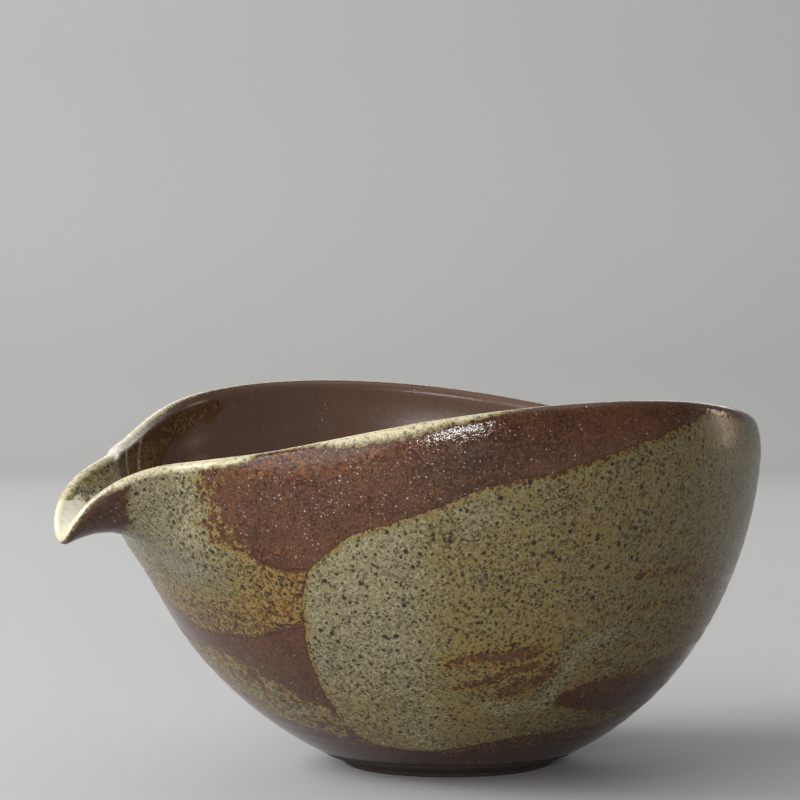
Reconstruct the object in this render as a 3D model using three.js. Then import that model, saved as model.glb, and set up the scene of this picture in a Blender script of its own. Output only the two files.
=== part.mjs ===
// A stoneware tea bowl with a pulled pouring lip, of the kind used to cool and pour tea.
// The clay is a thrown bowl, a lip luted into a notch in its wall, and a turned foot ring.
// Glaze lies on it as thin coats, each its own solid. Sizes are in millimetres, angles in degrees.
// +Z is up, the pouring lip points along -X, and the bowl stands on Z = 0.
import * as THREE from "three";

// Bowl
const bowlRadius = 63;
const bellyHeight = 69.2;
const rimHeight = 66.3;
const sideRise = 5.45;
const backRise = 1.55;
const cornerRise = 0.35;
const lean = 0.045;
const rimTurn = 10;
const rimTurnHeight = 6.5;
const baseThickness = 5.6;
const rimThickness = 3.4;
const floorThickness = 4.4;

// Pouring lip
const lipBend = 128;
const lipStartHeight = 36.7;
const lipEndHeight = 73;
const lipHalfWidth = 8.1;
const lipSharpness = 2;
const lipStretch = 0.99;
const lipFlare = 0.15;
const lipFlareWidth = 19.2;
const lipThickness = 2.2;
const seamHalfAngle = 22;
const seamHeight = 36;

// Webs that fill the corners under the lip, the brim that spreads beside it, and the rim pressed
// in on both sides of it
const webDepth = 2.3;
const webAngle = 12.2;
const webWidth = 9.9;
const webHeight = 48.4;
const webTall = 7.9;
const brimSpread = 1.05;
const brimAngle = 19.6;
const brimWidth = 6.5;
const pressDepth = 2;
const pressAngle = 43.6;
const pressWidth = 18.2;

// Foot
const footHeight = 3.2;
const footTopRadius = 25.6;
const footRestRadius = 20.4;
const footRingWidth = 4.6;
const footRecessTaper = 0.5;
const footEdgeRound = 0.8;
const footSetback = 0.4;

// Glaze coats, each inside a closed outline of [angle from the lip, height on the thrown wall]
const glazeThickness = 0.6;
const glazeEdge = 0.3;
const glazeGap = 0.3;

const backPour = {
  middle: [112, 38],
  outline: [
    [30.5, 11.4], [36.8, 7.9], [54, 6.9], [69, 7.9], [92, 10], [117, 11], [150, 14], [180, 20],
    [200, 34], [204, 48], [196, 59], [180, 63.5], [150, 64.4], [114, 64.4], [104, 62.4],
    [90, 58.9], [72, 55.8], [55, 52.1], [42, 47.7], [37, 44], [33.5, 36], [31, 28], [30.2, 18],
  ],
  steps: 70,
  rings: 12,
};
const lipPour = {
  middle: [0, 42],
  outline: [
    [-22, 33], [-14, 31], [-9, 29.7], [-4, 28.8], [9, 29], [19, 29.4], [27, 30.3], [30.4, 32],
    [32, 37], [33.6, 42.5], [31, 43.6], [25.8, 45.2], [20.8, 48.5], [18.2, 51.3], [16.6, 55],
    [16, 59], [15.6, 63], [11.5, 63.4], [8.5, 60.5], [5, 57], [0, 55.5], [-5, 57], [-9, 59],
    [-14, 58], [-19, 53], [-25, 46], [-27, 39],
  ],
  steps: 64,
  rings: 7,
};
const lowPour = {
  middle: [8, 17.4],
  outline: [
    [-16, 20], [-8, 16.5], [4, 13.5], [14, 11.6], [25, 10.4], [28.2, 12.2], [28.6, 15.4],
    [21.2, 17.9], [13.2, 20], [5.5, 22.4], [-7, 24.4], [-15, 25.5],
  ],
  steps: 32,
  rings: 2,
};
const insideLip = {
  middle: [0, 57],
  outline: [[-15, 57], [-11, 50], [0, 47], [11, 50], [15, 57], [11, 62.5], [0, 64], [-11, 62.5]],
  steps: 32,
  rings: 6,
};

// Fineness
const lipColumns = 26;
const backColumns = 58;
const lowRows = 8;
const highRows = 10;
const floorRows = 4;
const rimSteps = 4;
const footSides = 48;
const profileSteps = 90;
const tangentStep = 0.004;

const radians = THREE.MathUtils.degToRad;
const mix = THREE.MathUtils.lerp;
const smooth = (x) => THREE.MathUtils.smoothstep(x, 0, 1);

// The thrown wall follows an ellipse that meets the foot at the foot's radius. These are the
// ellipse's half height and the angles on it where the wall starts and ends.
const wallDrop = (bellyHeight - footHeight) / Math.sqrt(1 - (footTopRadius / bowlRadius) ** 2);
const wallLow = Math.asin((footHeight - bellyHeight) / wallDrop);
const wallHigh = Math.asin((rimHeight - bellyHeight) / wallDrop);

// The thrown wall before the lip is pulled: t runs from 0 at the foot to 1 at the rim.
function thrownPoint(t) {
  const u = mix(wallLow, wallHigh, t);
  return new THREE.Vector2(bowlRadius * Math.cos(u), bellyHeight + wallDrop * Math.sin(u));
}

function thrownShare(height) {
  return (Math.asin((height - bellyHeight) / wallDrop) - wallLow) / (wallHigh - wallLow);
}

const wallLength = ((bowlRadius + wallDrop) / 2) * (wallHigh - wallLow);

// How far the rim stands above its mean height, at an angle from the lip.
function rimRise(angle) {
  const corners = cornerRise * Math.cos(4 * angle);
  return -sideRise * Math.cos(2 * angle) - backRise * Math.cos(angle) - corners;
}

function fromLip(angle) {
  return THREE.MathUtils.radToDeg(Math.acos(Math.cos(angle)));
}

// A smooth hump, 1 at its middle.
function hump(place, middle, width) {
  return Math.exp(-(((place - middle) / width) ** 2));
}

// How much of the full pull the wall gets at an angle from the lip.
function pull(angle) {
  const narrow = Math.exp(-((fromLip(angle) / lipHalfWidth) ** lipSharpness));
  return mix(narrow, hump(fromLip(angle), 0, lipFlareWidth), lipFlare);
}

// The outside of the wall in its own upright plane, from the foot to the rim, at an angle from
// the lip. Each short stretch of the thrown wall turns outward by its share of the pull, and the
// last few millimetres under the rim turn in a little.
function pulledProfile(angle) {
  const share = pull(angle);
  const points = [thrownPoint(0)];
  for (let i = 1; i <= profileSteps; i++) {
    const before = thrownPoint((i - 1) / profileSteps);
    const after = thrownPoint(i / profileSteps);
    const middle = (before.y + after.y) / 2;
    const turned = share * smooth((middle - lipStartHeight) / (lipEndHeight - lipStartHeight));
    const inward = (1 - share) * smooth(1 - (rimHeight - middle) / rimTurnHeight);
    const turn = radians(rimTurn * inward - lipBend * turned);
    const step = after.sub(before).rotateAround(new THREE.Vector2(), turn);
    points.push(points[i - 1].clone().addScaledVector(step, mix(1, lipStretch, turned)));
  }
  const rise = rimRise(angle);
  const press = pressDepth * hump(fromLip(angle), pressAngle, pressWidth);
  const brim = brimSpread * hump(fromLip(angle), brimAngle, brimWidth);
  const web = webDepth * hump(fromLip(angle), webAngle, webWidth);
  points.forEach((point, i) => {
    const thrown = thrownPoint(i / profileSteps).y;
    const level = (point.y - footHeight) / (rimHeight - footHeight);
    const thrownLevel = (thrown - footHeight) / (rimHeight - footHeight);
    point.y += rise * level ** 3;
    point.x += web * hump(thrown, webHeight, webTall);
    point.x += brim * thrownLevel ** 4 - press * thrownLevel ** 2;
  });
  return points;
}

const profiles = new Map();

// A point on the outside of the wall, with t from 0 at the foot to 1 at the rim.
function outside(angle, t) {
  const key = angle.toFixed(6);
  if (!profiles.has(key)) {
    profiles.set(key, pulledProfile(angle));
  }
  const profile = profiles.get(key);
  const place = THREE.MathUtils.clamp(t, 0, 1) * profileSteps;
  const low = Math.min(Math.floor(place), profileSteps - 1);
  const point = profile[low].clone().lerp(profile[low + 1], place - low);
  const forward = point.y * lean;
  return new THREE.Vector3(
    -point.x * Math.cos(angle) - forward,
    -point.x * Math.sin(angle),
    point.y,
  );
}

// The outward normal of the wall, and its upward tangent.
function wallFrame(angle, t) {
  const up = outside(angle, t + tangentStep).sub(outside(angle, t - tangentStep)).normalize();
  const after = outside(angle + tangentStep, t);
  const before = outside(angle - tangentStep, t);
  return { normal: after.sub(before).cross(up).normalize(), up };
}

function thicknessAt(angle, t) {
  return mix(baseThickness, mix(rimThickness, lipThickness, pull(angle)), smooth(t));
}

// A point at a depth in the wall, from 0 on the outside to 1 on the inside, moved off it by lift.
function inWall(angle, t, depth, lift = 0) {
  const { normal } = wallFrame(angle, t);
  return outside(angle, t).addScaledVector(normal, lift - thicknessAt(angle, t) * depth);
}

// The floor of the bowl, flat below and dished above: share is 0 on the axis and 1 at the wall.
function underFloor(angle, share) {
  return outside(0, 0).add(outside(Math.PI, 0)).divideScalar(2).lerp(outside(angle, 0), share);
}

function overFloor(angle, share) {
  const middle = underFloor(angle, 0);
  middle.z += floorThickness;
  const edge = inWall(angle, 0, 1);
  const point = middle.clone().lerp(edge, share);
  return point.setZ(mix(middle.z, edge.z, share ** 2));
}

// A list of triangles that becomes one closed solid.
class Shell {
  constructor() {
    this.numbers = [];
  }

  triangle(a, b, c) {
    const thin = 1e-4;
    if (a.distanceTo(b) < thin || b.distanceTo(c) < thin || c.distanceTo(a) < thin) {
      return;
    }
    this.numbers.push(...a.toArray(), ...b.toArray(), ...c.toArray());
  }

  quad(a, b, c, d) {
    this.triangle(a, b, c);
    this.triangle(a, c, d);
  }

  mesh(name, material) {
    const geometry = new THREE.BufferGeometry();
    geometry.setAttribute("position", new THREE.Float32BufferAttribute(this.numbers, 3));
    geometry.computeVertexNormals();
    const made = new THREE.Mesh(geometry, material);
    made.name = name;
    return made;
  }
}

// The columns and rows that the clay is built on, both with one on the lip's seam. The first
// lipColumns cells round and the rows from lowRows up are the lip's.
function spread(from, to, count) {
  return Array.from({ length: count }, (_, i) => mix(from, to, i / count));
}

const seam = radians(seamHalfAngle);
const angles = [
  ...spread(-seam, seam, lipColumns),
  ...spread(seam, 2 * Math.PI - seam, backColumns),
];
const seamShare = thrownShare(seamHeight);
const shares = [...spread(0, seamShare, lowRows), ...spread(seamShare, 1, highRows), 1];

function isLip(row, column) {
  return row >= lowRows && column < lipColumns;
}

// The two skins of the clay, row by row from the axis of the floor to the rim.
function clayGrid() {
  const floorShares = spread(0, 1, floorRows);
  const outer = floorShares.map((share) => angles.map((angle) => underFloor(angle, share)));
  const inner = floorShares.map((share) => angles.map((angle) => overFloor(angle, share)));
  for (const t of shares) {
    outer.push(angles.map((angle) => outside(angle, t)));
    inner.push(angles.map((angle) => inWall(angle, t, 1)));
  }
  return { outer, inner };
}

// The rounded edge of the rim, from the outside over to the inside.
function rimArc(angle) {
  const { normal, up } = wallFrame(angle, 1);
  const start = outside(angle, 1);
  const end = inWall(angle, 1, 1);
  const centre = start.clone().lerp(end, 0.5);
  const radius = start.distanceTo(end) / 2;
  const points = [start];
  for (let i = 1; i < rimSteps; i++) {
    const turn = (Math.PI * i) / rimSteps;
    const point = centre.clone().addScaledVector(normal, radius * Math.cos(turn));
    points.push(point.addScaledVector(up, radius * Math.sin(turn)));
  }
  points.push(end);
  return points;
}

// The cells of the clay that a test keeps, closed all round.
function clayShell(keeps) {
  const { outer, inner } = clayGrid();
  const arcs = angles.map(rimArc);
  const top = outer.length - 1;
  const shell = new Shell();
  const kept = (row, column) => {
    const around = (column + angles.length) % angles.length;
    return row >= 0 && row < top && keeps(row - floorRows, around);
  };
  for (let row = 0; row < top; row++) {
    for (let i = 0; i < angles.length; i++) {
      if (!kept(row, i)) continue;
      const j = (i + 1) % angles.length;
      const [a, b, c, d] = [outer[row][i], outer[row][j], outer[row + 1][j], outer[row + 1][i]];
      const [e, f, g, h] = [inner[row][i], inner[row][j], inner[row + 1][j], inner[row + 1][i]];
      shell.quad(a, b, c, d);
      shell.quad(e, h, g, f);
      if (row > 0 && !kept(row - 1, i)) shell.quad(a, e, f, b);
      if (!kept(row, i - 1)) shell.quad(a, d, h, e);
      if (!kept(row, i + 1)) shell.quad(b, f, g, c);
      if (row < top - 1) {
        if (!kept(row + 1, i)) shell.quad(d, c, g, h);
        continue;
      }
      for (let k = 0; k < rimSteps; k++) {
        shell.quad(arcs[i][k], arcs[j][k], arcs[j][k + 1], arcs[i][k + 1]);
        if (!kept(row, i - 1)) shell.triangle(d, arcs[i][k], arcs[i][k + 1]);
        if (!kept(row, i + 1)) shell.triangle(c, arcs[j][k + 1], arcs[j][k]);
      }
    }
  }
  return shell;
}

// The foot ring is turned on the wheel, so it is a revolve about the axis of the bowl's floor.
function footRing(material) {
  const inner = footRestRadius - footRingWidth;
  const profile = [
    [inner - footRecessTaper, footHeight],
    [inner, footEdgeRound],
    [inner + footEdgeRound, 0],
    [footRestRadius - footEdgeRound, 0],
    [footRestRadius, footEdgeRound],
    [footTopRadius - footSetback, footHeight],
    [inner - footRecessTaper, footHeight],
  ];
  const points = profile.map(([radius, height]) => new THREE.Vector2(radius, height));
  const geometry = new THREE.LatheGeometry(points, footSides).rotateX(Math.PI / 2);
  const made = new THREE.Mesh(geometry, material);
  made.position.x = underFloor(0, 0).x;
  made.name = "foot_ring";
  return made;
}

// A coat of glaze inside an outline on the wall, on its outside (side 1) or inside (side -1).
// Its outline is a smooth closed curve, and rings of cells run from its middle out to that edge.
function glazeCoat(name, material, { middle, outline, steps, rings }, side) {
  const spot = ([angle, height]) => new THREE.Vector3(angle, thrownShare(height) * wallLength, 0);
  const curve = new THREE.CatmullRomCurve3(outline.map(spot), true, "centripetal");
  const edge = curve.getSpacedPoints(steps);
  const depth = side > 0 ? 0 : 1;
  const at = (ring, step, lift) => {
    const place = spot(middle).lerp(edge[step % steps], ring / rings);
    return inWall(radians(place.x), place.y / wallLength, depth, side * (glazeGap + lift));
  };
  const shell = new Shell();
  const put = (a, b, c, d) => (side > 0 ? shell.quad(a, b, c, d) : shell.quad(d, c, b, a));
  for (let ring = 0; ring < rings; ring++) {
    const lift = glazeThickness;
    const nextLift = ring === rings - 1 ? glazeEdge : glazeThickness;
    for (let k = 0; k < steps; k++) {
      put(at(ring, k, lift), at(ring + 1, k, nextLift), at(ring + 1, k + 1, nextLift), at(ring, k + 1, lift));
      put(at(ring, k + 1, 0), at(ring + 1, k + 1, 0), at(ring + 1, k, 0), at(ring, k, 0));
      if (ring === rings - 1) {
        put(at(rings, k, 0), at(rings, k + 1, 0), at(rings, k + 1, nextLift), at(rings, k, nextLift));
      }
    }
  }
  return shell.mesh(name, material);
}

const clay = new THREE.MeshStandardMaterial({ color: 0x4a302b, roughness: 0.7, metalness: 0 });
const ironBrown = new THREE.MeshStandardMaterial({ color: 0x5c3a33, roughness: 0.4, metalness: 0 });
const ashGlaze = new THREE.MeshStandardMaterial({ color: 0x7c7a5e, roughness: 0.3, metalness: 0 });

const bowl = new THREE.Group();
bowl.add(clayShell((row, column) => !isLip(row, column)).mesh("bowl_body", ironBrown));
bowl.add(clayShell(isLip).mesh("pouring_lip", ironBrown));
bowl.add(footRing(clay));
bowl.add(glazeCoat("ash_glaze_back", ashGlaze, backPour, 1));
bowl.add(glazeCoat("ash_glaze_lip_side", ashGlaze, lipPour, 1));
bowl.add(glazeCoat("ash_glaze_low", ashGlaze, lowPour, 1));
bowl.add(glazeCoat("ash_glaze_inside_lip", ashGlaze, insideLip, -1));

// The origin is at the middle of the bowl's box, on the surface that it stands on.
const box = new THREE.Box3().setFromObject(bowl);
const middle = box.getCenter(new THREE.Vector3());
bowl.position.set(-middle.x, -middle.y, 0);

const assembly = new THREE.Group();
assembly.add(bowl);

export default assembly;
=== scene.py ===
"""A stoneware tea bowl with a pulled pouring lip, under an iron slip and poured ash glaze.

Lengths in the property groups are in metres and angles in radians, as Blender keeps them. The
glaze outlines are points of (degrees round from the lip, millimetres up the thrown wall).
"""
import math

import bpy
import numpy as np
from bpy.props import FloatProperty, FloatVectorProperty, IntProperty, PointerProperty
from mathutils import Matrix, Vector


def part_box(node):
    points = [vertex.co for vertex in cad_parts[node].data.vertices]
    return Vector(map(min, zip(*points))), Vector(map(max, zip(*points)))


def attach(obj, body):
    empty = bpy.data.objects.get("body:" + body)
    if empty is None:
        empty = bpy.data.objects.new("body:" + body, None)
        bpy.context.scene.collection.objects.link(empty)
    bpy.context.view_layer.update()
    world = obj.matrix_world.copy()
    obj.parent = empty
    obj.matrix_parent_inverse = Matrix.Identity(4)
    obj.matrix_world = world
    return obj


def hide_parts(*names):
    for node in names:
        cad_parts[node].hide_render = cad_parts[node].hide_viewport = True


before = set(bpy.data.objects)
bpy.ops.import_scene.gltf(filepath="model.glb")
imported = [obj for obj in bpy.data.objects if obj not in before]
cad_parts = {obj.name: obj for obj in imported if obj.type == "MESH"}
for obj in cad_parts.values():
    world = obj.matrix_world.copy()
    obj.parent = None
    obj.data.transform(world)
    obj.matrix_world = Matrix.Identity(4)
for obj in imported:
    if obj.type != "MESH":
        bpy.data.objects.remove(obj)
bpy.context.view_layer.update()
foot_low, foot_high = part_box("foot_ring")

bl_info = {
    "name": "Stoneware Pouring Bowl",
    "version": (1, 0, 0),
    "blender": (4, 5, 0),
    "location": "View3D > Sidebar > Bowl",
    "description": "Builds a stoneware tea bowl with a pouring lip and poured ash glaze",
    "category": "Object",
}

MM = 0.001

# Outlines of the poured glaze
BACK_POUR = (
    (30.5, 11.4), (36.8, 7.7), (53.5, 6.7), (68.5, 7.7), (79, 9.2), (96, 10), (117, 11),
    (150, 14), (180, 20), (200, 34), (204, 48), (197, 59), (184, 64.6), (165, 65.8),
    (140, 66.2), (115, 65.9), (107.5, 64.6), (101.5, 63), (96.2, 61.6), (91.5, 60.3), (86, 59),
    (79.5, 57.8), (70, 56.5), (62, 54.1), (54.8, 52.2), (48.8, 50.8), (44.8, 49.5), (42.5, 48.2),
    (39, 45.8), (36.5, 43.9), (34.4, 41.5), (33.2, 37.6), (32.6, 34.6), (31.6, 30.3),
    (30.4, 24), (29.8, 19.5), (29.9, 14.6),
)
SIDE_POUR = (
    (-30, 38), (-20, 36), (-10.5, 33.4), (-6.2, 32.2), (-2.8, 30.8), (0.5, 29.6), (5.8, 29),
    (13, 29), (18.8, 29.3), (23.2, 30.1), (27.8, 31.2), (33, 32.2), (39, 32.4), (41, 37),
    (40, 43), (31.5, 43.9), (26.6, 45.6), (22.4, 48.9), (20.4, 51.8), (19, 55),
    (18.5, 58.7), (18.4, 62.4), (19.5, 66), (9, 66),
    (7.6, 63.4), (5.6, 60), (3, 57.6), (-3, 57.6), (-5.6, 60), (-7.6, 63.4), (-10, 66),
    (-17, 66), (-20, 60), (-26, 54), (-36, 47), (-36, 40),
)
LOW_POUR = (
    (-22, 22), (-12, 15.5), (0, 12.4), (12, 10.6), (25, 9.4), (30, 10.4), (31, 13),
    (29.2, 15), (23, 16.8), (18.8, 18.9), (15.2, 21.2), (7.8, 24), (-4, 25.8), (-11.5, 26.7),
    (-22, 28.6),
)
INSIDE_LIP = (
    (-18, 62), (-15, 55), (-9, 46), (0, 42), (9, 46), (15, 55), (18, 62),
    (16.5, 66), (8, 66.1), (0, 66.1), (-8, 66.1), (-16.5, 66),
)
INSIDE_WASH = (
    (-70, 65.6), (-66, 62.4), (-54, 60.2), (-44, 57), (-29, 50), (-12, 44), (0, 42), (12, 44),
    (29, 50), (39, 57), (42, 64.5), (30, 66.1), (0, 66.1), (-30, 66.1), (-56, 66.1),
)
IRON_BAY = (
    (88, 18.4), (89.5, 16.3), (94, 15.2), (105, 14), (120, 13.4), (138, 14.4), (152, 18),
    (157, 25), (150, 29), (138, 28.4), (128, 26.6), (118, 24.4), (108, 22.8), (98, 21.3),
    (91.5, 20),
)

# Strokes in the glaze: half width in millimetres, then points as above
IRON_STROKES = (
    (1.0, (60, 25.2), (65.2, 26), (69.2, 26.5), (73.5, 26.2)),
    (1.1, (72, 26.2), (76.5, 27.1), (80, 27.8)),
    (1.3, (72.5, 19.1), (77, 20.3), (81.2, 21.6), (84, 24.4)),
    (0.7, (62, 20.4), (68, 21.4), (74, 23.4), (80, 24.8)),
    (1.0, (98, 39.9), (104, 40.2), (112, 41), (119, 41.7)),
)
PALE_STROKES = (
    (
        2.2, (95, 29.6), (90.4, 28), (88.6, 25.8), (87.6, 23.3), (86.6, 21), (85.6, 18.8),
        (84.4, 16.8),
    ),
    (1.3, (84.4, 16.8), (80, 16.4), (74, 16), (69, 16.6)),
)

# Patches of thin ash: angle and height of the middle, half sizes, and how thick the ash is
THIN_PATCHES = (
    (38, 63.4, 7, 2.6, 0.34), (49, 63.4, 5, 1.8, 0.20), (23, 64.0, 3.4, 2.4, 0.30),
    (30, 64.8, 5, 1.6, 0.24), (58, 64.2, 7, 1.0, 0.08), (29, 46.9, 6, 1.4, 0.14),
    (22.5, 57, 2.8, 7, 0.16),
)

# Width of the ash along the rim, in millimetres, at angles from the lip
RIM_ASH = (
    (-180, 0.3), (-100, 0.3), (-72, 1.0), (-50, 1.7), (-12, 1.5), (-7, 0.5), (0, 0.1), (4, 0.2),
    (6.2, 0.6), (8.5, 1.9), (12, 2.5), (17, 3.0), (20.5, 2.9), (26, 2.8), (28.5, 1.4),
    (34.5, 1.7), (38.5, 1.9), (42, 3.0), (45.5, 3.5), (50.5, 3.7), (57, 3.5), (62, 2.7),
    (67.5, 2.3), (72, 1.4), (80, 0.7), (100, 0.3), (180, 0.3),
)
RIM_ASH_INSIDE = (
    (-180, 0.3), (-90, 0.4), (-60, 0.8), (-40, 1.6), (-24, 2.6), (-8, 3.0), (8, 2.6), (24, 1.4),
    (60, 0.6), (90, 0.4), (180, 0.3),
)

# Pale beads under the rim, painted highlight: share, angle and half width, millimetres from the
# crest and half width
RIM_BEADS = ((1.0, 24.0, 2.2, 1.9, 0.6), (0.7, 17.0, 2.4, 2.6, 0.9))

# Runs of glaze inside the lip: degrees from its middle, degrees more for each millimetre up, and
# half width in degrees
RUNS = (
    ("first_run", 22.0, 0.14, 0.75),
    ("second_run", 31.0, 0.20, 1.2),
    ("third_run", 10.4, 0.16, 0.15),
)

# Colours of the ash by its thickness
ASH_STOPS = (
    (0.0, "slip"), (0.10, "rust"), (0.25, "amber"), (0.42, "olive"), (0.68, "ash"), (0.82, "ash"),
    (1.0, "pale"),
)

# Middle and width of the webs by the lip's root and of the pressed and spread rim, in degrees or
# millimetres
WEB_ROUND = (12.2, 9.9)
WEB_UP = (48.4, 7.9)
PRESS_ROUND = (43.6, 18.2)
BRIM_ROUND = (19.6, 6.5)

# Lamps round the bowl, all aimed at AIM: place, size, watts and colour
AIM = (0.0, 0.0, 0.04)
WHITE = (1.0, 1.0, 1.0)
LAMPS = (
    ("window", (-0.95, 0.55, 0.75), (0.9, 0.7), 18.0, WHITE),
    ("side", (-1.45, -0.26, 0.75), (1.5, 1.3), 15.5, WHITE),
    ("front", (-0.525, -0.875, 0.235), (0.42, 0.022), 4.2, WHITE),
    ("back", (0.45, 0.78, 0.38), (1.0, 0.14), 1.4, WHITE),
    ("top", (0.1, 0.0, 1.3), (1.2, 1.2), 3.0, WHITE),
    ("warm", (1.0, -0.03, 0.16), (0.05, 0.35), 0.8, (1.0, 0.8, 0.6)),
)


def length_setting(name, description, default):
    """A size in metres."""
    return FloatProperty(name=name, description=description, default=default, unit="LENGTH")


def angle_setting(name, description, degrees):
    """An angle, given in degrees and kept in radians."""
    default = math.radians(degrees)
    return FloatProperty(name=name, description=description, default=default, subtype="ANGLE")


def number_setting(name, description, default):
    """A share or an exponent."""
    return FloatProperty(name=name, description=description, default=default)


def colour_setting(name, description, default):
    """A colour in linear light."""
    return FloatVectorProperty(
        name=name, description=description, default=default, subtype="COLOR"
    )


class BowlShape(bpy.types.PropertyGroup):
    """Sizes of the thrown clay."""

    radius: length_setting("Radius", "Outer radius at the belly", 0.063)
    belly: length_setting("Belly", "Height of the widest part", 0.0692)
    rim: length_setting("Rim", "Mean height of the rim", 0.0663)
    side_rise: length_setting("Side rise", "Rise of the rim at the sides", 0.00545)
    back_rise: length_setting("Back rise", "Rise of the rim at the back", 0.00155)
    corner_rise: length_setting("Corner rise", "Rise between them", 0.00035)
    lean: number_setting("Lean", "Lean of the wall towards the lip", 0.045)
    base_thickness: length_setting("Base thickness", "Wall at the foot", 0.0056)
    rim_thickness: length_setting("Rim thickness", "Wall at the rim", 0.0034)
    lip_thickness: length_setting("Lip thickness", "Wall at the lip's edge", 0.0022)
    floor_thickness: length_setting("Floor thickness", "Clay over the foot", 0.0044)
    foot_height: length_setting("Foot height", "Height of the foot", 0.0032)
    foot_top: length_setting("Foot top", "Radius where wall meets foot", 0.0256)
    foot_rest: length_setting("Foot rest", "Outer radius of the foot", 0.0204)
    foot_ring: length_setting("Foot ring", "Width of the foot's ring", 0.0046)
    rim_turn: angle_setting("Rim turn", "How far the wall turns in under the rim", 10)
    rim_turn_height: length_setting("Rim turn height", "Height that turns in", 0.0065)
    bend: angle_setting("Lip bend", "How far the lip is turned down", 128)
    bend_start: length_setting("Bend start", "Height where it starts", 0.0367)
    bend_end: length_setting("Bend end", "Height where it is full", 0.0730)
    half_width: angle_setting(
        "Lip half width", "Half width of the pull, seen from the bowl's axis", 8.1
    )
    sharpness: number_setting("Lip sharpness", "How quickly the pull fades", 2.0)
    stretch: number_setting("Lip stretch", "Stretch of the pulled clay", 0.99)
    flare: number_setting("Lip flare", "Share of the pull that spreads wide", 0.15)
    flare_width: angle_setting("Flare width", "Half width of the flare", 19.2)
    web_depth: length_setting("Web depth", "Clay beside the lip's root", 0.0023)
    press_depth: length_setting("Press depth", "Rim pressed in by the lip", 0.0020)
    brim_spread: length_setting("Brim spread", "Rim spread by the lip", 0.00105)
    seam_angle: angle_setting("Seam angle", "Half width of the piece that carries the lip", 22)
    seam_height: length_setting("Seam height", "Height of the lip's seam", 0.036)
    ring_depth: length_setting("Throwing rings", "Depth of the rings", 0.00002)
    wobble: length_setting("Wobble", "Unevenness of the hand", 0.00016)
    glaze_depth: length_setting("Glaze depth", "Thickness of a pour", 0.00014)
    columns: IntProperty(name="Columns", description="Faces round the bowl", default=420)
    rows: IntProperty(name="Rows", description="Faces up the wall", default=110)


class GlazeColours(bpy.types.PropertyGroup):
    """Colours of the fired surfaces, as plain light shows them, except where they carry painted
    shade, sheen and highlight.
    """

    slip: colour_setting("Iron slip", "Brown slip", (0.104, 0.044, 0.022))
    # Also the colour towards which painted shade under the lip, low on the right and near the foot
    # darkens slip and thin ash.
    thick_slip_and_shade: colour_setting("Dark slip", "Slip where thick", (0.032, 0.013, 0.007))
    rust: colour_setting("Rust", "Thinnest ash", (0.118, 0.041, 0.009))
    ember: colour_setting("Ember", "Rust in the slip", (0.215, 0.074, 0.022))
    amber: colour_setting("Amber", "Thin ash", (0.246, 0.160, 0.042))
    olive: colour_setting("Olive", "Middling ash", (0.184, 0.148, 0.056))
    ash: colour_setting("Ash", "Thick ash", (0.216, 0.187, 0.103))
    # Pooled ash, lightened as painted highlight for the lip's tip; the runs, beads and drip share
    # it.
    pale: colour_setting("Pale ash", "Pooled ash", (0.66, 0.62, 0.51))
    # Painted sheen: greyer and lighter slip inside the bowl.
    slip_inside_and_sheen: colour_setting("Slip inside", "Slip in the bowl", (0.160, 0.103, 0.080))
    # Ash on the rim, lightened past its own colour as painted highlight along the rim; also the
    # colour of the light flecks in the ash.
    cream_and_highlight: colour_setting("Rim", "Ash on the rim", (0.60, 0.53, 0.34))
    # Also the colour of the painted shade on the ash round to the right.
    speck_and_shade: colour_setting("Iron specks", "Iron specks", (0.014, 0.009, 0.004))
    # Painted highlight: the colour of the glints on the bare slip.
    painted_glint: colour_setting("Glints", "Pale crystals", (0.44, 0.38, 0.34))
    clay: colour_setting("Bare clay", "Bare foot", (0.060, 0.038, 0.030))
    floor: colour_setting("Floor", "Floor and backdrop", (0.46, 0.46, 0.455))


def smooth(x):
    """0 up to 0, 1 from 1 on and smooth between them."""
    x = np.clip(x, 0, 1)
    return x * x * (3 - 2 * x)


def hump(place, middle, width):
    """1 in the middle, and less than 0.4 beyond the width."""
    return np.exp(-(((place - middle) / width) ** 2))


def mix(a, b, share):
    """a at share 0 and b at share 1."""
    return a + (b - a) * share


def evenly(line, count, closed=False):
    """Points at even distances along a flat line."""
    line = np.vstack([line, line[:1]]) if closed else line
    run = np.concatenate([[0], np.cumsum(np.linalg.norm(np.diff(line, axis=0), axis=1))])
    want = np.linspace(0, run[-1], count, endpoint=not closed)
    return np.stack([np.interp(want, run, line[:, k]) for k in (0, 1)], -1)


def grid_faces(columns, rows, closed=False):
    """Faces of a grid whose point (i, k) is number i * rows + k, columns going round."""
    i = np.arange(columns if closed else columns - 1)
    k = np.arange(rows - 1)
    a = (i[:, None] * rows + k[None]).ravel()
    b = (((i[:, None] + 1) % columns) * rows + k[None]).ravel()
    return np.stack([a, b, b + 1, a + 1], -1)


def grid_normals(points):
    """Unit normals of a grid of points whose columns go round, 0 where points meet."""
    around = np.roll(points, -1, 0) - np.roll(points, 1, 0)
    normals = np.cross(around, np.gradient(points, axis=1))
    size = np.linalg.norm(normals, axis=-1, keepdims=True)
    return normals / np.where(size < 1e-12, 1, size)


def put(name, data):
    """A new object in the scene."""
    made = bpy.data.objects.new(name, data)
    bpy.context.scene.collection.objects.link(made)
    return made


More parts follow.
